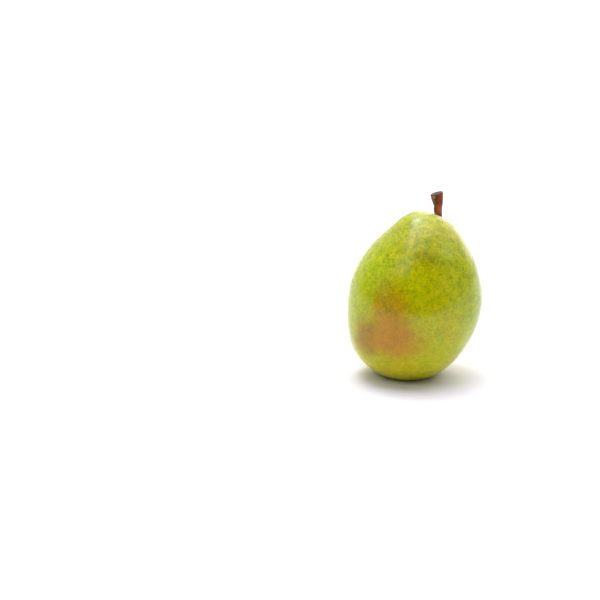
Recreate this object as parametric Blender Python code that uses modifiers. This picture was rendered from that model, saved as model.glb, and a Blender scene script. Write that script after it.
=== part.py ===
"""A fresh pear, standing on its calyx end.

The fruit is a turned body that has grown out of round: its axis leans and tilts towards the
stem, and a few broad swells and hollows give it its uneven sides. The stem's foot sits in a
socket in the flesh. Under the fruit is the eye, a shallow basin that holds the five dried
sepals and the tuft of dried stamens.

Metres, +Z up. The origin is on the surface that the pear stands on, at the middle of the
whole pear's box. The stem leans to the +X side.
"""

import math

import bmesh
import bpy
import numpy as np
from mathutils import Matrix, Vector

MM = 0.001
MERGE_DISTANCE = 0.01 * MM

# The fruit, in millimetres. The outline is its radius and height before it grows out of round.
FRUIT_HEIGHT = 95.8
SOCKET_RADIUS = 2.4
SOCKET_DEPTH = 5.5
REST_INNER = 11.0
REST_OUTER = 14.0
EYE_DEPTH = 6.6
SOCKET_FLOOR = FRUIT_HEIGHT - SOCKET_DEPTH
WALL_OUTLINE = (
    (0.0, SOCKET_FLOOR),
    (SOCKET_RADIUS - 0.5, SOCKET_FLOOR),
    (SOCKET_RADIUS, SOCKET_FLOOR + 0.6),
    (SOCKET_RADIUS, FRUIT_HEIGHT - 1.6),
    (SOCKET_RADIUS + 0.9, FRUIT_HEIGHT),
    (7.0, 95.7),
    (12.4, 93.7),
    (18.4, 89.4),
    (24.5, 83.0),
    (30.9, 75.6),
    (35.8, 66.4),
    (38.9, 57.0),
    (40.4, 47.5),
    (40.2, 38.0),
    (38.4, 27.5),
    (34.7, 17.6),
    (28.4, 8.8),
    (21.6, 3.1),
    (REST_OUTER + 2.4, 0.6),
    (REST_OUTER, 0.0),
)
EYE_OUTLINE = (
    (REST_INNER, 0.0),
    (9.4, 0.7),
    (7.6, 2.8),
    (5.6, 5.2),
    (3.2, EYE_DEPTH - 0.2),
    (0.0, EYE_DEPTH),
)
OUTLINE_STEP = 3.6
FRUIT_SEGMENTS = 60

# How the fruit grows: the axis that its rings follow, and how far the topmost ring tilts.
AXIS = (
    (-5.1, 0.0, 0.0),
    (-4.9, 0.0, 14.0),
    (-2.5, 0.0, 30.0),
    (-0.7, 0.1, 46.0),
    (0.3, 0.4, 60.0),
    (3.0, 1.5, 72.0),
    (7.4, 3.3, 84.0),
    (12.3, 5.3, FRUIT_HEIGHT),
)
TILT_AZIMUTH = math.radians(23)
TOP_TILT = math.radians(27)
TILT_START = 45.0

# Swells (+) and hollows (-) of the sides: azimuth in degrees, height, spread and depth in mm.
SWELLS = (
    (182, 91, 9, 1.9),
    (180, 80, 8, -1.4),
    (180, 62, 18, 1.0),
    (0, 66, 18, -0.9),
    (0, 93, 9, -0.7),
    (350, 20, 16, -0.8),
    (70, 55, 22, 0.9),
    (250, 40, 22, -0.6),
    (300, 74, 16, 0.6),
)

# The stem: points of its centre line above the flesh, and its radius from foot to cut end. The
# cut is a tilted plane a little below the last point.
STEM_FOOT_GAP = 0.4
STEM_BEND_DEPTH = 2.5
STEM_RISE = (
    (11.7, 5.5, 98.6),
    (11.7, 5.6, 101.4),
    (11.5, 5.6, 104.6),
    (11.0, 5.5, 107.6),
    (9.9, 5.4, 110.7),
)
STEM_RADII = (1.9, 1.95, 2.1, 2.35, 2.5, 3.0, 3.7, 4.1)
STEM_SIDES = 16
STEM_STEP = 1.0
STEM_CUT_TILT = (-0.28, -0.02, 0.96)
STEM_CUT_BACK = 1.0

# The eye's dried calyx. The sepals hang under the eye's wall, and their sides taper to a tip.
SEPALS = 5
SEPAL_BASE_RADIUS = 3.0
SEPAL_LENGTH = 4.6
SEPAL_WIDTH = 3.5
SEPAL_TIP_WIDTH = 0.5
SEPAL_TAPER = 1.6
SEPAL_THICKNESS = 0.5
SEPAL_DROP = 1.0
SEPAL_BOW = 0.25
TUFT_RADIUS = 1.7
TUFT_TOP_RADIUS = 1.2
TUFT_SIDES = 14
TUFT_HEIGHT = 2.6
TUFT_GAP = 0.35


def clear_scene():
    for obj in list(bpy.data.objects):
        bpy.data.objects.remove(obj)


def make_material(name, colour, roughness):
    material = bpy.data.materials.new(name)
    material.use_nodes = True
    shader = material.node_tree.nodes["Principled BSDF"]
    shader.inputs["Base Color"].default_value = (*colour, 1.0)
    shader.inputs["Roughness"].default_value = roughness
    shader.inputs["Metallic"].default_value = 0.0
    return material


def add_part(name, mesh, material, collection):
    part = bpy.data.objects.new(name, mesh)
    mesh.materials.clear()
    mesh.materials.append(material)
    mesh.shade_smooth()
    collection.objects.link(part)
    return part


def evaluated_mesh(obj):
    """The object's mesh with its modifiers applied and its doubles merged. The object is removed."""
    graph = bpy.context.evaluated_depsgraph_get()
    mesh = bpy.data.meshes.new_from_object(obj.evaluated_get(graph))
    bpy.data.objects.remove(obj)
    shape = bmesh.new()
    shape.from_mesh(mesh)
    bmesh.ops.remove_doubles(shape, verts=shape.verts, dist=MERGE_DISTANCE)
    shape.to_mesh(mesh)
    shape.free()
    return mesh


def smooth_line(stations, step):
    """Points about a step apart on a smooth curve through the stations."""
    points = np.array(stations)
    tangents = np.gradient(points, axis=0)
    tangents /= np.linalg.norm(tangents, axis=1, keepdims=True)
    line = [points[0]]
    for i, (start, end) in enumerate(zip(points, points[1:])):
        length = np.linalg.norm(end - start)
        leave = start + tangents[i] * length / 3
        arrive = end - tangents[i + 1] * length / 3
        count = max(1, round(length / step))
        for k in range(1, count + 1):
            t, u = k / count, 1 - k / count
            line.append(u**3 * start + 3 * u * u * t * leave + 3 * u * t * t * arrive + t**3 * end)
    return line


# --- Fruit -----------------------------------------------------------------------------------


def turned_mesh(name, outline, segments):
    """The mesh that an outline of radii and heights in millimetres sweeps around Z."""
    mesh = bpy.data.meshes.new(name)
    corners = [(radius * MM, 0.0, height * MM) for radius, height in outline]
    mesh.from_pydata(corners, [(i, i + 1) for i in range(len(corners) - 1)], [])
    blank = bpy.data.objects.new(name, mesh)
    bpy.context.scene.collection.objects.link(blank)
    screw = blank.modifiers.new("Turn", "SCREW")
    screw.steps = screw.render_steps = segments
    screw.use_merge_vertices = True
    screw.merge_threshold = MERGE_DISTANCE
    return evaluated_mesh(blank)


def axis_point(height):
    """The grown axis at a height of the turned body, in millimetres."""
    sides, depths, heights = np.array(smooth_line(AXIS, 1.0)).T
    return Vector((np.interp(height, heights, sides), np.interp(height, heights, depths), height))


def swelling(azimuth, radius, height):
    """How far the swells and hollows push the side out, in millimetres."""
    total = 0.0
    for degrees, middle, spread, depth in SWELLS:
        turn = math.remainder(azimuth - math.radians(degrees), math.tau)
        distance = math.hypot(radius * turn, height - middle)
        total += depth * math.exp(-0.5 * (distance / spread) ** 2)
    return total


def grown(point):
    """Where a point of the turned body, in metres, lies on the grown fruit."""
    radius, height = math.hypot(point.x, point.y) / MM, point.z / MM
    azimuth = math.atan2(point.y, point.x)
    radius += swelling(azimuth, radius, height) * min(1.0, radius / REST_OUTER) ** 2
    tilt = TOP_TILT * (max(0.0, height - TILT_START) / (FRUIT_HEIGHT - TILT_START)) ** 2
    along = radius * math.cos(azimuth - TILT_AZIMUTH)
    across = radius * math.sin(azimuth - TILT_AZIMUTH)
    offset = Vector((along * math.cos(tilt), across, -along * math.sin(tilt)))
    offset.rotate(Matrix.Rotation(TILT_AZIMUTH, 3, "Z"))
    return (axis_point(height) + offset) * MM


def make_fruit(collection):
    outline = smooth_line(WALL_OUTLINE, OUTLINE_STEP) + smooth_line(EYE_OUTLINE, OUTLINE_STEP)
    mesh = turned_mesh("fruit", outline, FRUIT_SEGMENTS)
    for vertex in mesh.vertices:
        vertex.co = grown(vertex.co)
    skin = make_material("pear_skin", (0.42, 0.45, 0.06), 0.42)
    return add_part("fruit", mesh, skin, collection)


# --- Stem ------------------------------------------------------------------------------------


def make_stem(collection):
    in_socket = [
        axis_point(height)
        for height in (SOCKET_FLOOR + STEM_FOOT_GAP, FRUIT_HEIGHT - STEM_BEND_DEPTH, FRUIT_HEIGHT)
    ]
    centres = in_socket + [Vector(point) for point in STEM_RISE]
    stations = [(*centre, radius) for centre, radius in zip(centres, STEM_RADII)]
    line = smooth_line(stations, STEM_STEP)
    curve = bpy.data.curves.new("stem", "CURVE")
    curve.dimensions = "3D"
    curve.bevel_depth = MM
    curve.bevel_resolution = (STEM_SIDES - 4) // 2
    curve.use_fill_caps = True
    spline = curve.splines.new("POLY")
    spline.points.add(len(line) - 1)
    for point, (x, y, z, radius) in zip(spline.points, line):
        point.co = (x * MM, y * MM, z * MM, 1.0)
        point.radius = radius
    rod = bpy.data.objects.new("stem", curve)
    bpy.context.scene.collection.objects.link(rod)
    mesh = evaluated_mesh(rod)
    normal = Vector(STEM_CUT_TILT).normalized()
    cut_end(mesh, (Vector(STEM_RISE[-1]) - normal * STEM_CUT_BACK) * MM, normal)
    bark = make_material("stem_bark", (0.13, 0.055, 0.022), 0.6)
    return add_part("stem", mesh, bark, collection)


def cut_end(mesh, point, normal):
    """Takes off what is past the plane and closes the cut with one face."""
    shape = bmesh.new()
    shape.from_mesh(mesh)
    bmesh.ops.bisect_plane(
        shape,
        geom=shape.verts[:] + shape.edges[:] + shape.faces[:],
        plane_co=point,
        plane_no=normal,
        clear_outer=True,
    )
    rim = [edge for edge in shape.edges if edge.is_boundary]
    bmesh.ops.contextual_create(shape, geom=rim)
    bmesh.ops.recalc_face_normals(shape, faces=shape.faces)
    shape.to_mesh(mesh)
    shape.free()


# --- Calyx -----------------------------------------------------------------------------------


def eye_height(distance):
    """The height of the eye's wall above the surface at a distance from the eye's middle."""
    outline = smooth_line(EYE_OUTLINE, 0.2)
    distances, heights = np.array(outline[::-1]).T
    return np.interp(distance, distances, heights)


def make_sepal(number, material, collection):
    """One dried sepal: a pointed leaf that lies along the eye's wall and stands off it a little."""
    sheet = bmesh.new()
    bmesh.ops.create_grid(sheet, x_segments=5, y_segments=3, size=0.5)
    for vertex in sheet.verts:
        along, across = vertex.co.x + 0.5, vertex.co.y * 2
        width = SEPAL_TIP_WIDTH + (SEPAL_WIDTH - SEPAL_TIP_WIDTH) * (1 - along**SEPAL_TAPER)
        side = across * width / 2
        outward = SEPAL_BASE_RADIUS + SEPAL_LENGTH * along
        wall = eye_height(math.hypot(outward, side))
        bow = SEPAL_BOW * 4 * along * (1 - along)
        vertex.co = Vector((outward, side, wall - SEPAL_DROP - bow)) * MM
    bmesh.ops.recalc_face_normals(sheet, faces=sheet.faces)
    mesh = bpy.data.meshes.new(f"sepal_{number}")
    sheet.to_mesh(mesh)
    sheet.free()
    sepal = add_part(f"sepal_{number}", mesh, material, collection)
    leaf = sepal.modifiers.new("Thickness", "SOLIDIFY")
    leaf.thickness = SEPAL_THICKNESS * MM
    leaf.offset = 0.0
    sepal.location = axis_point(0.0) * MM
    sepal.rotation_euler.z = math.tau * number / SEPALS
    return sepal


def make_tuft(material, collection):
    tuft = bmesh.new()
    bmesh.ops.create_cone(
        tuft,
        cap_ends=True,
        segments=TUFT_SIDES,
        radius1=TUFT_RADIUS * MM,
        radius2=TUFT_TOP_RADIUS * MM,
        depth=TUFT_HEIGHT * MM,
    )
    mesh = bpy.data.meshes.new("stamen_tuft")
    tuft.to_mesh(mesh)
    tuft.free()
    part = add_part("stamen_tuft", mesh, material, collection)
    part.location = axis_point(EYE_DEPTH - TUFT_GAP - TUFT_HEIGHT / 2) * MM
    return part


# --- Pear ------------------------------------------------------------------------------------


def centre_on_origin(parts, collection):
    """Hangs the parts on an empty, and moves it so that the whole pear's box is over the origin."""
    bpy.context.view_layer.update()
    corners = [part.matrix_world @ Vector(c) for part in parts for c in part.bound_box]
    empty = bpy.data.objects.new("pear", None)
    collection.objects.link(empty)
    for part in parts:
        part.parent = empty
    for axis in (0, 1):
        values = [corner[axis] for corner in corners]
        empty.location[axis] = -(min(values) + max(values)) / 2


def main():
    clear_scene()
    collection = bpy.data.collections.new("pear")
    bpy.context.scene.collection.children.link(collection)
    dried = make_material("dried_calyx", (0.10, 0.065, 0.035), 0.85)
    parts = [make_fruit(collection), make_stem(collection)]
    parts += [make_sepal(number + 1, dried, collection) for number in range(SEPALS)]
    parts.append(make_tuft(dried, collection))
    centre_on_origin(parts, collection)


main()
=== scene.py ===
"""A ripe green dessert pear standing upright on its eye end.

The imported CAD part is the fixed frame: the skin, the woody stem and the dried calyx are modelled around it, each with
its own finish, and stand on a pale floor in soft studio light. Lengths are in metres, and MM turns millimetres into
them; the sizes of the materials' patterns are in millimetres.
"""

import math

import bmesh
import bpy
import numpy as np
from mathutils import Matrix, Vector, noise


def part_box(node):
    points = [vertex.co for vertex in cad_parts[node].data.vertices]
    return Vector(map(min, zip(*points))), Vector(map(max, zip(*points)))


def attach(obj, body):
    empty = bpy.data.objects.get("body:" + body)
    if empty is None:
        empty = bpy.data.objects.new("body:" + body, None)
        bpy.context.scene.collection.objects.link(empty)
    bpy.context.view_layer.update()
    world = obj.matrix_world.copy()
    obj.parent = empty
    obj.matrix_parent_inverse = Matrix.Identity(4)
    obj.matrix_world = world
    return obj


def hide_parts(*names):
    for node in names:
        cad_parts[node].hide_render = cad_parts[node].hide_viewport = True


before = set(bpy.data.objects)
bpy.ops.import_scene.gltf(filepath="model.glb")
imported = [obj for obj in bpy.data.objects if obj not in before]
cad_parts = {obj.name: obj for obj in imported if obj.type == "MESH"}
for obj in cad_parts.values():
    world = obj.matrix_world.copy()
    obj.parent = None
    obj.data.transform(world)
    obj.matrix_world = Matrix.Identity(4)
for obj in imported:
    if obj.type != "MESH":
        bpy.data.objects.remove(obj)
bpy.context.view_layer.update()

MM = 0.001
BODY = "root"
FRUIT_LOW, FRUIT_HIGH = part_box("fruit")
FRUIT_MIDDLE = (FRUIT_LOW + FRUIT_HIGH) / 2
FRUIT_HALF = (FRUIT_HIGH - FRUIT_LOW) / 2
STEM_LOW, STEM_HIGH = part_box("stem")
SEPALS = range(1, 6)
EYE_MIDDLE = sum((sum(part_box(f"sepal_{n}"), Vector()) / 2 for n in SEPALS), Vector()) / len(SEPALS)

# Skin
SKIN_MERGE = 0.01 * MM          # the CAD mesh is loose triangles, joined within this distance
SKIN_SUBDIVISION = 2
SWELL_HEIGHT = 0.16 * MM        # soft unevenness left by growing flesh
SWELL_SPACING = 11 * MM
DIMPLE_HEIGHT = 0.035 * MM
DIMPLE_SPACING = 3.2 * MM
LIP_CLOSE_REACH = 5.2 * MM      # within this radius the flesh closes in on the stem
LIP_SCALE = 0.74
LIP_DROP = 3.7 * MM             # the lip lies this far below the fruit's highest point
LIP_NEIGHBOURHOOD = 14 * MM
COLLAR_HEIGHT = 0.22 * MM
COLLAR_RADIUS = 3.0 * MM
COLLAR_WIDTH = 1.3 * MM
COLLAR_PUCKERS = 7
MOUND_HEIGHT = 0.6 * MM         # the flesh swells a little round the stem
MOUND_WIDTH = 5.5 * MM
EYE_BASIN_LOW, EYE_BASIN_HIGH = 6 * MM, 12 * MM
EYE_RIBS = 5
EYE_RIB_HEIGHT = 0.42 * MM
EYE_RIB_RADIUS = 8.5 * MM
EYE_RIB_WIDTH = 3.2 * MM
REST_PRESS = 0.45 * MM          # how far the resting ring is pressed flat
REST_FADE = 4 * MM

# Sizes of the materials' patterns, in millimetres
WANDER_SIZE, WANDER_REACH = 8, 9.0
CLOUD_SIZE = 20
MOTTLE_SIZE = 9
DULL_SIZE = 4
LENTICEL_SPACING = 1.7
FRECKLE_SIZE = 1.3
WAX_SIZE = 5
RUSSET_DROP = 2.5               # the stem's foot, below the fruit's highest point
STREAK_WIDTH, STREAK_SQUEEZE = 0.8, 0.22                # the bark's streaks are stretched up the stem
GRAIN_SIZE = 0.35
LEAF_MOTTLE_SIZE = 0.9
VEIN_SPACING = 0.6
PAPER_CLOUD_SIZE = 30

# Patches of colour, some of them painted shade: middle (shares of the piece), reach in mm, solid share, strength and
# colour
GROUND_AND_SHADE_PATCHES = (
    ((0.00, 1.05, 0.60), (46, 48, 56), 0.20, 0.85, "#A0A600"),       # painted shade: darker, duller green on the back
    ((-1.00, -0.50, 0.62), (30, 34, 36), 0.30, 0.80, "#B8C600"),     # greener left side
    ((-0.55, -0.64, 0.75), (18, 20, 18), 0.20, 0.80, "#C4D000"),     # green left shoulder
    ((1.05, -0.45, 0.45), (30, 36, 44), 0.25, 0.85, "#A6B800"),      # greener right side, darkened with painted shade
    ((0.52, -0.60, 0.78), (16, 20, 18), 0.20, 0.75, "#AAB200"),      # greener right shoulder, darkened with painted shade
    ((-0.15, -0.90, 0.64), (17, 24, 17), 0.20, 0.60, "#CCCA00"),     # paler high on the front
    ((0.10, -1.00, 0.45), (14, 20, 26), 0.20, 0.75, "#C8C400"),      # yellow down the middle
    ((0.11, -0.66, 0.795), (10, 12, 6), 0.25, 0.90, "#A69C00"),      # darker olive patch under the crest
    ((0.12, -0.40, 0.93), (11, 14, 8), 0.30, 0.60, "#D6CC20"),       # warmer crest
    ((-0.80, 0.60, 0.42), (22, 26, 26), 0.20, 0.50, "#B8A600"),      # warmer patches round the back
    ((0.55, 0.80, 0.30), (20, 22, 20), 0.20, 0.45, "#BAA400"),
)
BLUSH_PATCHES = (
    ((-0.42, -0.86, 0.485), (19, 24, 21), 0.20, 0.85, "#C69200"),    # amber over the blush
    ((-0.72, -0.64, 0.290), (13, 20, 17), 0.25, 0.90, "#AA7800"),    # amber down its outer side
    ((-0.06, -0.96, 0.300), (16, 18, 15), 0.10, 0.75, "#CEA80A"),    # its faded inner end
    ((-0.35, -0.70, 0.130), (20, 22, 10), 0.20, 0.40, "#D4B400"),    # warm underside
    ((-0.385, -0.90, 0.325), (20, 24, 19), 0.30, 0.95, "#C6881C"),   # rose
)
BARK_AND_SHADE_PATCHES = (
    ((0.76, 0.1, 0.80), (2.0, 4.0, 5.0), 0.2, 0.75, "#963800"),      # rubbed
    ((0.50, 0.1, 0.84), (1.6, 4.0, 5.0), 0.3, 0.75, "#5E3A00"),      # painted shade in a hollow
    ((0.72, 0.2, 0.50), (3.2, 4.0, 4.4), 0.3, 0.75, "#C47050"),      # redder bend
    ((0.28, 0.3, 0.68), (1.8, 3.5, 4.4), 0.3, 0.75, "#75665A"),      # weathered grey
    ((0.20, 0.0, 0.86), (2.6, 3.0, 1.8), 0.3, 0.80, "#A88A74"),      # worn edge under the cut
    ((0.46, 0.1, 0.36), (1.8, 3.5, 2.4), 0.2, 0.75, "#CC9468"),      # pale foot
)

# Stem
STEM_SEGMENTS = 44
STEM_RINGS = 52
STEM_MEASURED_FROM = 0.02       # the shares of the CAD stem's height that level cuts measure cleanly
STEM_MEASURED = 0.74
STEM_MEASURE_CUTS = 9
STEM_OVERRUN = 2 * MM           # the line runs on past the top, to be cut off on a slope
FLARE_FADE = 0.8
RIDGE_HEIGHT = 0.17 * MM
RIDGES_ROUND = 1.5
RIDGE_LENGTH = 9 * MM
BARK_ROUGHNESS = 0.05 * MM
BARK_GRAIN = 0.9 * MM
CREASE_DEPTH = 0.34 * MM
CREASE_WIDTH = 0.9 * MM
CREASE_UP = 0.57                # shares of the stem's height
KNOT_UP = 0.65
KNOT_SWELL = 0.25 * MM
KNOT_WIDTH = 3.5 * MM
SCAR_BACK = 0.35 * MM
SCAR_MERGE = 0.08 * MM
SCAR_PROFILE = (                # each ring's width as a share of the last, and its step along the cut's direction
    (0.95, 0.20 * MM), (0.90, 0.13 * MM), (0.88, -0.08 * MM), (0.84, -0.22 * MM), (0.70, -0.14 * MM), (0.4, 0.03 * MM),
)

# Calyx
SEPAL_HALF_WIDTH = 1.75 * MM
SEPAL_TIP_WIDTH = 0.12 * MM
SEPAL_CURL = 1.0 * MM
SEPAL_ARCH = 0.35 * MM
SEPAL_CUP = 0.30 * MM
SEPAL_WAVE = 0.35 * MM
SEPAL_SKEW = 0.5 * MM
SEPAL_THICKNESS = 0.22 * MM
CORE_RADII = 0.85 * MM, 0.35 * MM
CORE_SHARE = 0.75               # the dried core's height as a share of the tuft's
CORE_CRUMPLE = 0.12 * MM
FILAMENTS = 19
FILAMENT_RADIUS = 0.13 * MM
FILAMENT_BEND = 0.9 * MM
FILAMENT_SWELLS = 1.0, 0.95, 0.9, 1.15, 1.25, 0.6       # each ring's width as a share of the last, thread to head
GOLDEN_TURN = math.radians(137.5)

# Studio
FLOOR_RADIUS = 9.0
FLOOR_FRONT = -0.325            # the paper ends here, and the dark room begins
CAMERA_DISTANCE = 1.0
CAMERA_LIFT = math.radians(15)
CAMERA_LENS = 100
AIM_BESIDE = 0.0688             # the camera aims this far to the left of the fruit
AIM_HEIGHT = 0.0455
BASE_RADIANCE = 0.5
CEILING_EDGE = 0.05             # softness of the ceiling panels' edges, as all their sizes a share of their height
CEILING_PANELS = (              # from and to across, from and to deep, and brightness
    (-1.00, -0.47, 0.20, 3.00, 1.1),
    (0.00, 1.80, 0.60, 3.00, 2.6),
    (0.35, 1.25, -0.18, 0.60, 2.3),
    (-0.47, 0.38, -0.19, 1.60, 3.3),
    (-0.30, 0.12, -0.19, 0.35, 5.0),
    (-0.40, -0.14, 0.00, 0.52, 8.0),
    (-0.36, -0.05, 0.27, 0.47, 15.0),
)
STUDIO_WALLS = (                # direction, reach, solid share and brightness of each wall or panel
    ((-0.10, 1.20, 0.10), (1.60, 1.10, 0.90), 0.6, 1.1),    # white wall behind
    ((0.55, 1.00, 0.25), (0.60, 0.50, 0.45), 0.5, 2.2),     # its bright right end
    ((0.00, -1.00, 0.35), (1.05, 0.95, 0.62), 0.8, 0.04),   # dark room behind the camera
    ((-1.00, 0.00, 0.00), (0.50, 0.60, 0.22), 0.6, 0.06),   # dark flag, left
    ((-0.47, -0.44, 0.77), (0.36, 0.36, 0.30), 0.4, 2.2),   # window, front left
    ((0.62, -0.70, 0.35), (0.30, 0.30, 0.22), 0.3, 0.6),    # weak panel, front right
)


# ---------------------------------------------------------------------------------------------------------------------
# Meshes
# ---------------------------------------------------------------------------------------------------------------------

def smooth_step(low, high, values):
    """0 below low, 1 above high and a soft rise between; works on one number or an array."""
    share = np.clip((values - low) / (high - low), 0.0, 1.0)
    return share * share * (3 - 2 * share)


def bump(distance, width):
    """A bell that is 1 at distance 0 and about a third at width."""
    return np.exp(-((distance / width) ** 2))


def points_of(geometry):
    """The vertices among what a bmesh operator gives back."""
    return [part for part in geometry if isinstance(part, bmesh.types.BMVert)]


def edges_of(geometry):
    return [part for part in geometry if isinstance(part, bmesh.types.BMEdge)]


def extruded_ring(bm, edges):
    """Extrudes a ring of edges and gives the new ring's vertices, edges and middle."""
    made = bmesh.ops.extrude_edge_only(bm, edges=edges)["geom"]
    ring = points_of(made)
    return ring, edges_of(made), sum((v.co for v in ring), Vector()) / len(ring)


def piece_from(bm, name, material):
    """Finishes a bmesh as a smooth object at the origin, with its place in its mesh."""
    mesh = bpy.data.meshes.new(name)
    bm.to_mesh(mesh)
    bm.free()
    mesh.materials.append(material)
    return piece_with(mesh, name)


def piece_with(mesh, name):
    for polygon in mesh.polygons:
        polygon.use_smooth = True
    piece = bpy.data.objects.new(name, mesh)
    bpy.context.scene.collection.objects.link(piece)
    return piece


def add_to_part(piece, slot, *nodes):
    """The piece moves with the pear and stands for the CAD nodes, which it hides. The slot is not used."""
    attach(piece, BODY)
    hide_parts(*nodes)


def with_subdivision(piece, levels):
    modifier = piece.modifiers.new("Subdivision", "SUBSURF")
    modifier.levels = modifier.render_levels = levels
    return piece


def level_cut(node, height):
    """Middle and radius of a level cut through a CAD node."""
    bm = bmesh.new()
    bm.from_mesh(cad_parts[node].data)
    everything = bm.verts[:] + bm.edges[:] + bm.faces[:]
    cut = bmesh.ops.bisect_plane(bm, geom=everything, plane_co=(0, 0, height), plane_no=(0, 0, 1))["geom_cut"]
    rim = np.array([tuple(point.co) for point in points_of(cut)])
    bm.free()
    low, high = rim.min(axis=0), rim.max(axis=0)
    return Vector((low + high) / 2), float((high - low)[:2].mean()) / 2


def top_cut(node):
    """Middle and direction of the sloping cut across the top of a CAD node."""
    faces = [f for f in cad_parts[node].data.polygons if f.normal.z > 0.8]
    area = sum(f.area for f in faces)
    middle = sum((f.center * f.area for f in faces), Vector()) / area
    normal = sum((f.normal * f.area for f in faces), Vector()).normalized()
    return middle, normal


# ---------------------------------------------------------------------------------------------------------------------
# Materials
# ---------------------------------------------------------------------------------------------------------------------

SOFT = {"interpolation_type": "SMOOTHSTEP"}         # settings of a Map Range node with soft ends
COLOURS = {"data_type": "RGBA"}                     # settings of a Mix node that blends colours
TIMES = {"operation": "MULTIPLY"}                   # settings of a Math node that multiplies


def srgb(colour):
    """An sRGB hex colour as the linear RGBA that shader sockets take."""
    channels = [int(colour[i:i + 2], 16) / 255 for i in (1, 3, 5)]
    return tuple(c / 12.92 if c <= 0.04045 else ((c + 0.055) / 1.055) ** 2.4 for c in channels) + (1.0,)


def add_node(tree, kind, inputs=None, **settings):
    """Adds a shader node. Settings are its own properties. Inputs give each socket, by name or number, a value or what
    feeds it: a socket, or a node, which feeds it from its first output in use."""
    node = tree.nodes.new("ShaderNode" + kind)
    for name, value in settings.items():
        setattr(node, name, value)
    in_use = {socket.name: socket for socket in reversed(node.inputs) if socket.enabled}
    for name, value in (inputs or {}).items():
        socket = in_use[name] if isinstance(name, str) else node.inputs[name]
        if isinstance(value, bpy.types.Node):
            value = next(output for output in value.outputs if output.enabled)
        if isinstance(value, bpy.types.NodeSocket):
            tree.links.new(value, socket)
        else:
            socket.default_value = value
    return node


def new_material(name):
    """An empty node material with the piece's own coordinates in millimetres."""
    material = bpy.data.materials.new(name)
    material.use_nodes = True
    tree = material.node_tree
    tree.nodes.clear()
    place = add_node(tree, "TexCoord").outputs["Object"]
    return material, tree, add_node(tree, "Mapping", {"Vector": place, "Scale": (1 / MM,) * 3})


def patch(tree, place, middle, reach, solid):
    """A mask that is 1 within the solid share of an ellipsoid and fades to 0 at its edge."""
    offset = add_node(tree, "VectorMath", {0: place, 1: tuple(middle)}, operation="SUBTRACT")
    scaled = add_node(tree, "VectorMath", {0: offset, 1: tuple(reach)}, operation="DIVIDE")
    distance = add_node(tree, "VectorMath", {0: scaled}, operation="LENGTH")
    fade = {"Value": distance, "From Min": solid, "From Max": 1.0, "To Min": 1.0, "To Max": 0.0}
    return add_node(tree, "MapRange", fade, **SOFT)


def painted(tree, colour, place, patches, on_piece):
    """The colour with patches painted over it in turn, and the last patch's mask."""
    for middle, reach, solid, strength, tint in patches:
        mask = patch(tree, place, on_piece(*middle), reach, solid)
        share = add_node(tree, "Math", {0: mask, 1: strength}, **TIMES)
        colour = add_node(tree, "Mix", {"Factor": share, "A": colour, "B": srgb(tint)}, **COLOURS)
    return colour, mask


def finish_material(tree, colour, roughness, height, height_distance, height_strength, ior):
    """Joins colour, roughness and surface height to one Principled shader and the output."""
    relief = add_node(tree, "Bump", {"Height": height, "Distance": height_distance, "Strength": height_strength})
    surface = {"Base Color": colour, "Roughness": roughness, "Normal": relief, "IOR": ior}
    add_node(tree, "OutputMaterial", {"Surface": add_node(tree, "BsdfPrincipled", surface)})


def on_fruit(across, deep, up):
    """A point in millimetres from shares of the fruit's half width, half depth and whole height."""
    return (
        (FRUIT_MIDDLE.x + across * FRUIT_HALF.x) / MM,
        (FRUIT_MIDDLE.y + deep * FRUIT_HALF.y) / MM,
        (FRUIT_LOW.z + up * 2 * FRUIT_HALF.z) / MM,
    )


def on_stem(across, deep, up):
    """A point in millimetres from shares of the stem's box."""
    size = STEM_HIGH - STEM_LOW
    return tuple((low + share * side) / MM for low, share, side in zip(STEM_LOW, (across, deep, up), size))


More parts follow.
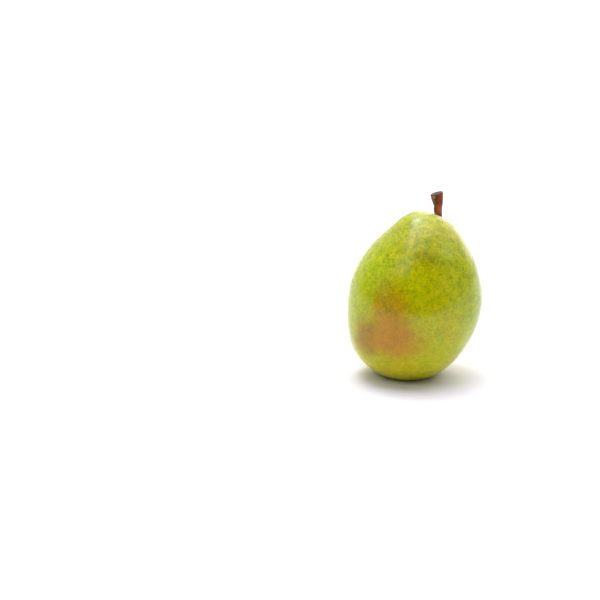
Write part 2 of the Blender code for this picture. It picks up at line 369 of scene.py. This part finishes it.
def make_pear_skin():
    """Waxy pear skin, smooth and slightly glossy: yellow-green, freckled with dark lenticels in a paler net, with a
    rose blush low on one side under an amber fringe, darker olive patches in the green, and a little cork-brown russet
    at the stem and the eye. Painted shade darkens the crown, the back and the right side, painted light brightens the
    lower part, and a painted sheen pales the skin round the stem."""
    material, tree, place = new_material("waxy_pear_skin")

    # Masks are read at a place pushed about by soft noise, so that no edge is an oval.
    wander = add_node(
        tree, "TexNoise", {"Vector": place, "Scale": 1 / WANDER_SIZE, "Detail": 4.0, "Roughness": 0.65}
    ).outputs["Color"]
    push = {0: wander, 1: (WANDER_REACH,) * 3, 2: (-WANDER_REACH / 2,) * 3}
    pushed = add_node(tree, "VectorMath", push, operation="MULTIPLY_ADD")
    loose = add_node(tree, "VectorMath", {0: place, 1: pushed}, operation="ADD")
    height_up = add_node(tree, "SeparateXYZ", {0: loose}).outputs["Z"]

    # Ground colour: two yellow-greens in broad clouds, greener towards the sides and shoulders, with painted shade on
    # the back, the right side and the crown, and painted light on the lower part round the eye.
    clouds = add_node(tree, "TexNoise", {"Vector": loose, "Scale": 1 / CLOUD_SIZE, "Detail": 2.0})
    clouds = add_node(tree, "MapRange", {"Value": clouds, "From Min": 0.38, "From Max": 0.62}, **SOFT)
    ground = add_node(tree, "Mix", {"Factor": clouds, "A": srgb("#C6C000"), "B": srgb("#BCC200")}, **COLOURS)
    ground, _ = painted(tree, ground, loose, GROUND_AND_SHADE_PATCHES, on_fruit)
    # Painted shade: the crown is darkened against the strong light from overhead.
    crown_shade = add_node(tree, "MapRange", {"Value": height_up, "From Min": 58.0, "From Max": 92.0}, **SOFT)
    crown_shade = add_node(tree, "Mix", {"Factor": crown_shade, "A": srgb("#FFFFFF"), "B": srgb("#ECECEC")}, **COLOURS)
    ground = add_node(tree, "Mix", {"Factor": 1.0, "A": ground, "B": crown_shade}, blend_type="MULTIPLY", **COLOURS)
    # Painted light: the lower part is painted paler against the weaker light that reaches it.
    painted_heel_light = {"Value": height_up, "From Min": 4.0, "From Max": 26.0, "To Min": 0.75, "To Max": 0.0}
    painted_heel_light = add_node(tree, "MapRange", painted_heel_light, **SOFT)
    ground = add_node(tree, "Mix", {"Factor": painted_heel_light, "A": ground, "B": srgb("#DCD200")}, **COLOURS)

    # Blush: rose low on the front left, amber above it and down its outer side.
    ground, rose = painted(tree, ground, loose, BLUSH_PATCHES, on_fruit)

    # Mottle: all the freckling comes and goes in patches, is fainter on the blush and stronger towards the crown.
    mottle = add_node(tree, "TexNoise", {"Vector": place, "Scale": 1 / MOTTLE_SIZE, "Detail": 3.0, "Roughness": 0.6})
    mottle = {"Value": mottle, "From Min": 0.36, "From Max": 0.62, "To Min": 0.62, "To Max": 1.05}
    off_blush = {"Value": rose, "From Min": 0.1, "From Max": 0.9, "To Min": 1.0, "To Max": 0.55}
    rising = {"Value": height_up, "From Min": 12.0, "From Max": 85.0, "To Min": 0.75, "To Max": 1.25}
    mottle, off_blush, rising = (add_node(tree, "MapRange", span, **SOFT) for span in (mottle, off_blush, rising))
    freckled = add_node(tree, "Math", {0: mottle, 1: off_blush}, **TIMES)
    freckled = add_node(tree, "Math", {0: freckled, 1: rising}, **TIMES)

    # Dull flecks of deeper green a few millimetres wide.
    dull = add_node(tree, "TexNoise", {"Vector": place, "Scale": 1 / DULL_SIZE, "Detail": 3.0, "Roughness": 0.55})
    dull = {"Value": dull, "From Min": 0.62, "From Max": 0.38, "To Min": 0.0, "To Max": 0.8}
    dull = add_node(tree, "Math", {0: add_node(tree, "MapRange", dull, **SOFT), 1: freckled}, **TIMES)
    deeper = {"Factor": 1.0, "A": ground, "B": srgb("#D6E4B0")}
    deeper = add_node(tree, "Mix", deeper, blend_type="MULTIPLY", **COLOURS)
    ground = add_node(tree, "Mix", {"Factor": dull, "A": ground, "B": deeper}, **COLOURS)

    # Net: a paler mesh between the lenticels.
    fine = add_node(tree, "TexNoise", {"Vector": place, "Scale": 1 / FRECKLE_SIZE, "Detail": 3.0, "Roughness": 0.65})
    broken = add_node(tree, "MapRange", {"Value": fine, "From Min": 0.35, "From Max": 0.65}, **SOFT)
    net = {"Vector": loose, "Scale": 1 / LENTICEL_SPACING}
    net = add_node(tree, "TexVoronoi", net, feature="DISTANCE_TO_EDGE")
    net = {"Value": net, "From Min": 0.0, "From Max": 0.16, "To Min": 1.0, "To Max": 0.0}
    net = add_node(tree, "Math", {0: add_node(tree, "MapRange", net, **SOFT), 1: broken}, **TIMES)
    net = add_node(tree, "Math", {0: net, 1: 0.26}, **TIMES)
    net = add_node(tree, "Math", {0: net, 1: freckled}, **TIMES)
    lighter = add_node(
        tree, "Mix", {"Factor": 1.0, "A": ground, "B": srgb("#D8D820")}, blend_type="SCREEN", **COLOURS
    )
    skin = add_node(tree, "Mix", {"Factor": net, "A": ground, "B": lighter}, **COLOURS)

    # Specks of deeper green 1 to 2 mm wide between the lines.
    specks = {"Value": fine, "From Min": 0.54, "From Max": 0.34, "To Min": 0.0, "To Max": 0.64}
    specks = add_node(tree, "Math", {0: add_node(tree, "MapRange", specks, **SOFT), 1: freckled}, **TIMES)
    deeper = {"Factor": 1.0, "A": ground, "B": srgb("#C2C884")}
    deeper = add_node(tree, "Mix", deeper, blend_type="MULTIPLY", **COLOURS)
    skin = add_node(tree, "Mix", {"Factor": specks, "A": skin, "B": deeper}, **COLOURS)

    # Lenticels: dark dots 0.5 mm across.
    pores = add_node(tree, "TexVoronoi", {"Vector": loose, "Scale": 1 / LENTICEL_SPACING})
    pores = {"Value": pores, "From Min": 0.10, "From Max": 0.24, "To Min": 1.0, "To Max": 0.0}
    pores = add_node(tree, "MapRange", pores, **SOFT)
    dots = add_node(tree, "Math", {0: add_node(tree, "Math", {0: pores, 1: 0.30}, **TIMES), 1: freckled}, **TIMES)
    dark = {"Factor": 1.0, "A": ground, "B": srgb("#A8AC60")}
    dark = add_node(tree, "Mix", dark, blend_type="MULTIPLY", **COLOURS)
    skin = add_node(tree, "Mix", {"Factor": dots, "A": skin, "B": dark}, **COLOURS)

    # Painted sheen: round the stem's foot the skin is painted paler and greyer in place of the gloss that is missing
    # there.
    foot = tuple(level_cut("stem", FRUIT_HIGH.z - RUSSET_DROP * MM)[0] / MM)
    painted_sheen = patch(tree, loose, foot, (13, 15, 9), 0.5)
    painted_sheen = add_node(tree, "Math", {0: painted_sheen, 1: 0.55}, **TIMES)
    skin = add_node(tree, "Mix", {"Factor": painted_sheen, "A": skin, "B": srgb("#CAC48C")}, **COLOURS)

    # Russet: cork-brown netting where the stem leaves and round the eye.
    collar = patch(tree, loose, foot, (5, 5, 4), 0.3)
    eye = patch(tree, loose, on_fruit(-0.09, 0.0, 0.0), (13, 13, 9), 0.45)
    cork = add_node(tree, "Math", {0: collar, 1: eye}, operation="MAXIMUM")
    netting = add_node(tree, "MapRange", {"Value": fine, "From Min": 0.38, "From Max": 0.55}, **SOFT)
    cork = add_node(tree, "Math", {0: cork, 1: netting}, **TIMES)
    share = add_node(tree, "Math", {0: cork, 1: 0.8}, **TIMES)
    skin = add_node(tree, "Mix", {"Factor": share, "A": skin, "B": srgb("#9C7A3C")}, **COLOURS)

    # Wax: uneven, matt on the cork and thinning out round the stem.
    wax = add_node(tree, "TexNoise", {"Vector": place, "Scale": 1 / WAX_SIZE, "Detail": 4.0, "Roughness": 0.6})
    wax = {"Value": wax, "From Min": 0.3, "From Max": 0.7, "To Min": 0.16, "To Max": 0.23}
    corky = add_node(tree, "Math", {0: cork, 1: 0.20}, **TIMES)
    roughness = add_node(tree, "Math", {0: add_node(tree, "MapRange", wax, **SOFT), 1: corky}, operation="ADD")
    thin = add_node(tree, "Math", {0: patch(tree, loose, foot, (11, 11, 8), 0.3), 1: 0.32}, **TIMES)
    roughness = add_node(tree, "Math", {0: roughness, 1: thin}, operation="ADD")

    # Relief: fine unevenness with each lenticel a shallow pit.
    relief = add_node(tree, "Math", {0: fine, 1: 0.5}, **TIMES)
    pits = add_node(tree, "Math", {0: pores, 1: -0.35}, **TIMES)
    relief = add_node(tree, "Math", {0: relief, 1: pits}, operation="ADD")
    finish_material(tree, skin, roughness, relief, 0.06 * MM, 0.7, ior=1.38)
    return material


def make_stem_bark():
    """Dry pear stem: brown bark, greyer where it is weathered and orange where it is rubbed, streaked along its length,
    with painted shade in a hollow near the top, matt with a faint sheen on the ridges."""
    material, tree, place = new_material("dry_stem_bark")
    along = add_node(tree, "Mapping", {"Vector": place, "Scale": (1.0, 1.0, STREAK_SQUEEZE)})
    streaks = add_node(tree, "TexNoise", {"Vector": along, "Scale": 1 / STREAK_WIDTH, "Detail": 5.0, "Roughness": 0.65})
    grain = add_node(tree, "TexNoise", {"Vector": place, "Scale": 1 / GRAIN_SIZE, "Detail": 4.0, "Roughness": 0.7})

    streaked = add_node(tree, "MapRange", {"Value": streaks, "From Min": 0.35, "From Max": 0.65}, **SOFT)
    bark = add_node(tree, "Mix", {"Factor": streaked, "A": srgb("#6E3A10"), "B": srgb("#A86030")}, **COLOURS)
    bark, _ = painted(tree, bark, place, BARK_AND_SHADE_PATCHES, on_stem)
    cracks = {"Value": grain, "From Min": 0.46, "From Max": 0.28, "To Min": 0.0, "To Max": 0.6}
    cracks = add_node(tree, "MapRange", cracks, **SOFT)
    bark = add_node(tree, "Mix", {"Factor": cracks, "A": bark, "B": srgb("#4A2C12")}, **COLOURS)

    # The cut end is a dull corky scar.
    middle, normal = top_cut("stem")
    offset = add_node(tree, "VectorMath", {0: place, 1: tuple(middle / MM)}, operation="SUBTRACT")
    above = add_node(tree, "VectorMath", {0: offset, 1: tuple(normal)}, operation="DOT_PRODUCT")
    scar = add_node(tree, "MapRange", {"Value": above, "From Min": -0.55, "From Max": -0.15}, **SOFT)
    scar = add_node(tree, "Math", {0: scar, 1: 0.85}, **TIMES)
    bark = add_node(tree, "Mix", {"Factor": scar, "A": bark, "B": srgb("#42342C")}, **COLOURS)

    roughness = {"Value": grain, "From Min": 0.3, "From Max": 0.7, "To Min": 0.55, "To Max": 0.78}
    roughness = add_node(tree, "MapRange", roughness, **SOFT)
    ridges = add_node(tree, "Math", {0: streaks, 1: 0.7}, **TIMES)
    grains = add_node(tree, "Math", {0: grain, 1: 0.3}, **TIMES)
    relief = add_node(tree, "Math", {0: ridges, 1: grains}, operation="ADD")
    finish_material(tree, bark, roughness, relief, 0.35 * MM, 0.8, ior=1.33)
    return material


def make_dried_calyx():
    """Dried calyx: shrivelled leaf, papery and nearly black with grey-brown edges, without gloss."""
    material, tree, place = new_material("dried_calyx_leaf")
    mottle = {"Vector": place, "Scale": 1 / LEAF_MOTTLE_SIZE, "Detail": 4.0, "Roughness": 0.6}
    mottle = add_node(tree, "TexNoise", mottle)
    mottled = add_node(tree, "MapRange", {"Value": mottle, "From Min": 0.35, "From Max": 0.65}, **SOFT)
    leaf = add_node(tree, "Mix", {"Factor": mottled, "A": srgb("#2E2116"), "B": srgb("#5A4630")}, **COLOURS)
    veins = add_node(tree, "TexVoronoi", {"Vector": place, "Scale": 1 / VEIN_SPACING}, feature="DISTANCE_TO_EDGE")
    veins = {"Value": veins, "From Min": 0.0, "From Max": 0.12, "To Min": 0.5, "To Max": 0.0}
    veins = add_node(tree, "MapRange", veins, **SOFT)
    leaf = add_node(tree, "Mix", {"Factor": veins, "A": leaf, "B": srgb("#7A6546")}, **COLOURS)
    roughness = {"Value": mottle, "From Min": 0.3, "From Max": 0.7, "To Min": 0.72, "To Max": 0.9}
    roughness = add_node(tree, "MapRange", roughness, **SOFT)
    finish_material(tree, leaf, roughness, mottle, 0.25 * MM, 0.8, ior=1.45)
    return material


def make_studio_paper():
    """Matt white studio paper: it lights the fruit from below and takes its soft shadow."""
    material, tree, place = new_material("matt_white_paper")
    fibre = add_node(tree, "TexNoise", {"Vector": place, "Scale": 1 / PAPER_CLOUD_SIZE, "Detail": 2.0})
    paper = add_node(tree, "Mix", {"Factor": fibre, "A": srgb("#E5E3EE"), "B": srgb("#E9E7F2")}, **COLOURS)
    finish_material(tree, paper, 0.9, fibre, 0.02 * MM, 0.1, ior=1.3)
    return material


# ---------------------------------------------------------------------------------------------------------------------
# Pieces
# ---------------------------------------------------------------------------------------------------------------------

def around(points, middle):
    """Each point's offset, distance and turn from an upright line through middle."""
    out = points - np.array(middle)
    return out, np.linalg.norm(out, axis=1), np.arctan2(out[:, 1], out[:, 0])


def grow(points, normals):
    """Soft swells, and shallow dimples on them, left by growing flesh."""
    swells = np.array([noise.noise(Vector(p) / SWELL_SPACING) for p in points])
    dimples = np.array([noise.noise(Vector(p) / DIMPLE_SPACING + Vector((7, 3, 5))) for p in points])
    return points + normals * (swells * SWELL_HEIGHT + dimples * DIMPLE_HEIGHT)[:, None]


def close_on_stem(points, normals):
    """The lip closes in on the stem along its own slope, under a low puckered collar."""
    foot, _ = level_cut("stem", FRUIT_HIGH.z - LIP_DROP)
    out, distance, _ = around(points, foot)
    near = (distance < LIP_NEIGHBOURHOOD).astype(float)
    slope = normals[(distance > COLLAR_RADIUS * 1.5) & (distance < COLLAR_RADIUS * 2.5)].mean(axis=0)
    slope /= np.linalg.norm(slope)
    out -= (out @ slope)[:, None] * slope
    distance = np.linalg.norm(out, axis=1)
    turn = np.arctan2(out[:, 1], out[:, 0])
    closing = near * (1 - LIP_SCALE) * (1 - smooth_step(COLLAR_RADIUS * 0.9, LIP_CLOSE_REACH, distance))
    puckers = 1 + 0.35 * np.cos(COLLAR_PUCKERS * turn + 0.8 * np.sin(2 * turn))
    collar = near * COLLAR_HEIGHT * puckers * bump(distance - COLLAR_RADIUS, COLLAR_WIDTH)
    mound = near * MOUND_HEIGHT * bump(distance, MOUND_WIDTH)
    return points - out * closing[:, None] + slope * (collar + mound)[:, None]


def shape_eye_end(points):
    """Ribs round the eye's basin, then the resting ring pressed flat."""
    _, distance, turn = around(points[:, :2], EYE_MIDDLE[:2])
    low = 1 - smooth_step(EYE_BASIN_LOW, EYE_BASIN_HIGH, points[:, 2])
    waves = np.cos(EYE_RIBS * turn + 0.9 * np.sin(turn))
    points[:, 2] += low * EYE_RIB_HEIGHT * waves * bump(distance - EYE_RIB_RADIUS, EYE_RIB_WIDTH)
    points[:, 2] -= REST_PRESS * (1 - smooth_step(0.0, REST_FADE, points[:, 2]))
    points[:, 2] = np.maximum(points[:, 2], FRUIT_LOW.z)


def make_skin(material):
    """The fruit's skin: the CAD fruit made smooth, then softly uneven, closed in on the stem and ribbed at the eye."""
    bm = bmesh.new()
    bm.from_mesh(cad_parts["fruit"].data)
    bmesh.ops.remove_doubles(bm, verts=bm.verts, dist=SKIN_MERGE)
    bmesh.ops.join_triangles(
        bm, faces=bm.faces[:], angle_face_threshold=math.radians(40), angle_shape_threshold=math.radians(50)
    )
    rough = with_subdivision(piece_from(bm, "rough_skin", material), SKIN_SUBDIVISION)
    bpy.context.view_layer.update()
    mesh = bpy.data.meshes.new_from_object(rough.evaluated_get(bpy.context.evaluated_depsgraph_get()))
    bpy.data.objects.remove(rough)

    count = len(mesh.vertices)
    points, normals = np.empty(count * 3), np.empty(count * 3)
    mesh.vertices.foreach_get("co", points)
    mesh.vertices.foreach_get("normal", normals)
    points, normals = points.reshape(-1, 3), normals.reshape(-1, 3)
    points = close_on_stem(grow(points, normals), normals)
    shape_eye_end(points)
    mesh.vertices.foreach_set("co", points.ravel())
    mesh.update()
    add_to_part(piece_with(mesh, "pear_skin"), "pear_skin", "fruit")


def stem_line():
    """Stations up the stem: its middle and radius at each height, measured on the CAD stem and carried on upwards."""
    height = STEM_HIGH.z - STEM_LOW.z
    shares = [STEM_MEASURED_FROM + STEM_MEASURED * n / (STEM_MEASURE_CUTS - 1) for n in range(STEM_MEASURE_CUTS)]
    measured = [level_cut("stem", STEM_LOW.z + height * share) for share in shares]
    rise = measured[-1][0] - measured[-2][0]
    flare = measured[-1][1] - measured[-2][1]
    step = 1
    while measured[-1][0].z < STEM_HIGH.z + STEM_OVERRUN:
        measured.append((measured[-1][0] + rise, measured[-1][1] + flare * FLARE_FADE ** step))
        step += 1
    return measured


def make_stem(material):
    """The woody stem: rings extruded up the CAD stem's line, ridged and creased, with a sloping corky scar on top."""
    line = np.array([tuple(middle) + (radius,) for middle, radius in stem_line()])
    heights = line[:, 2]

    def at(height):
        values = [float(np.interp(height, heights, line[:, n])) for n in range(4)]
        return Vector((values[0], values[1], height)), values[3]

    bm = bmesh.new()
    start, radius = at(heights[0])
    ring = bmesh.ops.create_circle(bm, cap_ends=True, segments=STEM_SEGMENTS, radius=radius)["verts"]
    bmesh.ops.translate(bm, verts=ring, vec=start)
    edges = bm.edges[:]
    for height in np.linspace(heights[0], heights[-1], STEM_RINGS)[1:]:
        middle, next_radius = at(float(height))
        ring, edges, here = extruded_ring(bm, edges)
        bmesh.ops.scale(bm, verts=ring, vec=(next_radius / radius,) * 3, space=Matrix.Translation(-here))
        bmesh.ops.translate(bm, verts=ring, vec=middle - here)
        radius = next_radius

    # Bark: ridges along the stem, fine roughness, a slight swell and a crease where it bends.
    top_middle, top_normal = top_cut("stem")
    knot_height, crease_height = (STEM_LOW.z + up * (STEM_HIGH.z - STEM_LOW.z) for up in (KNOT_UP, CREASE_UP))
    for vertex in bm.verts:
        middle, radius = at(vertex.co.z)
        out = (vertex.co - middle).normalized()
        stretched = Vector((out.x * RIDGES_ROUND, out.y * RIDGES_ROUND, vertex.co.z / RIDGE_LENGTH))
        ridges = noise.noise(stretched) + 0.5 * noise.noise(stretched * 2.3)
        rough = noise.noise(vertex.co / BARK_GRAIN)
        pinch = bump(vertex.co.z - crease_height - 0.6 * MM * out.y, CREASE_WIDTH) * max(0.0, 0.35 - out.x)
        swell = bump(vertex.co.z - knot_height, KNOT_WIDTH)
        vertex.co += out * (ridges * RIDGE_HEIGHT + rough * BARK_ROUGHNESS + swell * KNOT_SWELL - pinch * CREASE_DEPTH)

    # Scar: the end cut off on the slope of the CAD stem, with a low rim and a dished middle.
    everything = bm.verts[:] + bm.edges[:] + bm.faces[:]
    cut = bmesh.ops.bisect_plane(
        bm, geom=everything, plane_co=top_middle - top_normal * SCAR_BACK, plane_no=top_normal, clear_outer=True
    )["geom_cut"]
    bmesh.ops.remove_doubles(bm, verts=points_of(cut), dist=SCAR_MERGE)
    rim = [edge for edge in bm.edges if edge.is_boundary]
    for narrowing, step in SCAR_PROFILE:
        ring, rim, _ = extruded_ring(bm, rim)
        bmesh.ops.scale(bm, verts=ring, vec=(narrowing,) * 3, space=Matrix.Translation(-top_middle))
        bmesh.ops.translate(bm, verts=ring, vec=top_normal * step)
    bmesh.ops.contextual_create(bm, geom=rim)
    bmesh.ops.poke(bm, faces=[f for f in bm.faces if len(f.verts) > 4])
    bmesh.ops.remove_doubles(bm, verts=bm.verts, dist=0.01 * MM)
    bmesh.ops.recalc_face_normals(bm, faces=bm.faces)
    add_to_part(with_subdivision(piece_from(bm, "stem_bark", material), 1), "stem_bark", "stem")


def make_sepal(number, material):
    """One shrivelled sepal: a tapering strip laid from the eye's rim outwards, cupped along its middle, curled at its
    tip."""
    node = f"sepal_{number}"
    points = np.array([tuple(v.co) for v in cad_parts[node].data.vertices])
    spread = np.linalg.norm(points[:, :2] - np.array(EYE_MIDDLE)[:2], axis=1)
    order = np.argsort(spread)
    base, tip = (Vector(points[group].mean(axis=0)) for group in (order[:8], order[-8:]))
    along = tip - base
    side = along.cross(Vector((0, 0, 1))).normalized()
    up = side.cross(along).normalized()

    bm = bmesh.new()
    bmesh.ops.create_grid(bm, x_segments=12, y_segments=6, size=0.5)
    for vertex in bm.verts:
        share, across = vertex.co.x + 0.5, vertex.co.y * 2
        belly = 0.75 + 0.5 * math.sin(math.pi * share)
        half_width = SEPAL_HALF_WIDTH * (1 - share) ** 0.65 * belly + SEPAL_TIP_WIDTH
        wave = noise.noise(Vector((share * 3.1, across * 1.3, number * 5.3))) * SEPAL_WAVE
        cup = SEPAL_CUP * across * across * (1 - share)
        curl = -SEPAL_CURL * share ** 3 + SEPAL_ARCH * math.sin(math.pi * share)
        skew = SEPAL_SKEW * math.sin(number * 2.1) * share ** 2
        vertex.co = base + along * share + side * (across * half_width + skew) + up * (curl - cup + wave * share)
    bmesh.ops.recalc_face_normals(bm, faces=bm.faces)
    sepal = piece_from(bm, f"sepal_leaf_{number}", material)
    wall = sepal.modifiers.new("Solidify", "SOLIDIFY")
    wall.thickness, wall.offset = SEPAL_THICKNESS, 0
    add_to_part(with_subdivision(sepal, 2), "dried_calyx", node)


def make_stamens(material):
    """The shrivelled stamens in the eye: bent threads with small heads, round a dried core."""
    low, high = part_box("stamen_tuft")
    middle, height = (low + high) / 2, high.z - low.z
    bm = bmesh.new()
    core = bmesh.ops.create_cone(
        bm, cap_ends=True, segments=14, radius1=CORE_RADII[0], radius2=CORE_RADII[1], depth=height * CORE_SHARE
    )["verts"]
    bmesh.ops.rotate(bm, verts=core, matrix=Matrix.Rotation(math.pi, 3, "X"))
    bmesh.ops.translate(bm, verts=core, vec=(middle.x, middle.y, high.z - height * CORE_SHARE / 2))
    bmesh.ops.subdivide_edges(bm, edges=bm.edges[:], cuts=2, use_grid_fill=True)
    for vertex in bm.verts:
        vertex.co += Vector((1, 1, 0.3)) * noise.noise(vertex.co / (0.6 * MM)) * CORE_CRUMPLE

    for number in range(FILAMENTS):
        turn = number * GOLDEN_TURN
        radius = (0.75 + 0.75 * (number % 5) / 4) * MM
        root = Vector((middle.x + radius * math.cos(turn), middle.y + radius * math.sin(turn), high.z))
        outward = Vector((math.cos(turn + 0.5 * math.sin(number)), math.sin(turn + 0.5 * math.sin(number)), 0))
        length = height * (0.75 + 0.25 * math.sin(number * 1.7) ** 2)
        ring = bmesh.ops.create_circle(bm, cap_ends=True, segments=6, radius=FILAMENT_RADIUS)["verts"]
        bmesh.ops.translate(bm, verts=ring, vec=root)
        edges = [e for e in bm.edges if e.verts[0] in ring and e.verts[1] in ring]
        for step, swell in enumerate(FILAMENT_SWELLS, start=1):
            share = step / len(FILAMENT_SWELLS)
            bend = FILAMENT_BEND * math.sin(share * 2.2) * math.sin(number * 2.9)
            target = root + outward * bend + Vector((0, 0, -length * share))
            ring, edges, here = extruded_ring(bm, edges)
            bmesh.ops.scale(bm, verts=ring, vec=(swell, swell, 1), space=Matrix.Translation(-here))
            bmesh.ops.translate(bm, verts=ring, vec=target - here)
        bmesh.ops.contextual_create(bm, geom=edges)
    bmesh.ops.recalc_face_normals(bm, faces=bm.faces)
    add_to_part(piece_from(bm, "stamens", material), "dried_calyx", "stamen_tuft")


# ---------------------------------------------------------------------------------------------------------------------
# Studio
# ---------------------------------------------------------------------------------------------------------------------

def make_floor(material):
    bm = bmesh.new()
    bmesh.ops.create_grid(bm, x_segments=2, y_segments=2, size=FLOOR_RADIUS)
    bmesh.ops.translate(bm, verts=bm.verts, vec=(0, FLOOR_RADIUS + FLOOR_FRONT, 0))
    piece_from(bm, "studio_floor", material)


def make_camera():
    camera = bpy.data.objects.new("camera", bpy.data.cameras.new("camera"))
    bpy.context.scene.collection.objects.link(camera)
    camera.data.lens = CAMERA_LENS
    camera.data.clip_end = 50
    aim = Vector((FRUIT_MIDDLE.x - AIM_BESIDE, FRUIT_MIDDLE.y, AIM_HEIGHT))
    view = Vector((0, math.cos(CAMERA_LIFT), -math.sin(CAMERA_LIFT)))
    camera.location = aim - view * CAMERA_DISTANCE
    camera.rotation_euler = view.to_track_quat("-Z", "Y").to_euler()
    bpy.context.scene.camera = camera


def within(tree, value, low, high):
    """A mask that is 1 where value is between low and high, with the ceiling panels' soft edges."""
    rise = {"Value": value, "From Min": low - CEILING_EDGE, "From Max": low + CEILING_EDGE}
    fall = {"Value": value, "From Min": high - CEILING_EDGE, "From Max": high + CEILING_EDGE}
    rise = add_node(tree, "MapRange", rise, **SOFT)
    fall = add_node(tree, "MapRange", {**fall, "To Min": 1.0, "To Max": 0.0}, **SOFT)
    return add_node(tree, "Math", {0: rise, 1: fall}, **TIMES)


def make_studio_light():
    """A pale studio: large panels overhead, white walls behind, a window front left and a dark room behind the camera.
    The camera itself sees plain white."""
    world = bpy.data.worlds.new("studio")
    bpy.context.scene.world = world
    world.use_nodes = True
    tree = world.node_tree
    tree.nodes.clear()
    way = add_node(tree, "TexCoord").outputs["Generated"]
    light = (BASE_RADIANCE,) * 3 + (1,)
    for middle, reach, solid, radiance in STUDIO_WALLS:
        wall = patch(tree, way, middle, reach, solid)
        light = add_node(tree, "Mix", {"Factor": wall, "A": light, "B": (radiance,) * 3 + (1,)}, **COLOURS)

    # Ceiling panels are placed by the slope of the way to them.
    sides = add_node(tree, "SeparateXYZ", {0: way}).outputs
    across, deep = (add_node(tree, "Math", {0: sides[n], 1: sides["Z"]}, operation="DIVIDE") for n in ("X", "Y"))
    above = add_node(tree, "MapRange", {"Value": sides["Z"], "From Min": 0.05, "From Max": 0.25}, **SOFT)
    for left, right, front, back, radiance in CEILING_PANELS:
        panel = {0: within(tree, across, left, right), 1: within(tree, deep, front, back)}
        panel = add_node(tree, "Math", {0: add_node(tree, "Math", panel, **TIMES), 1: above}, **TIMES)
        light = add_node(tree, "Mix", {"Factor": panel, "A": light, "B": (radiance,) * 3 + (1,)}, **COLOURS)
    seen = add_node(tree, "LightPath").outputs["Is Camera Ray"]
    light = add_node(tree, "Mix", {"Factor": seen, "A": light, "B": (1.0, 1.0, 1.0, 1.0)}, **COLOURS)
    add_node(tree, "OutputWorld", {"Surface": add_node(tree, "Background", {"Color": light})})


def main():
    bpy.context.scene.view_settings.view_transform = "Standard"
    make_skin(make_pear_skin())
    make_stem(make_stem_bark())
    calyx = make_dried_calyx()
    for number in SEPALS:
        make_sepal(number, calyx)
    make_stamens(calyx)
    make_floor(make_studio_paper())
    make_camera()
    make_studio_light()

    bpy.context.view_layer.update()


main()
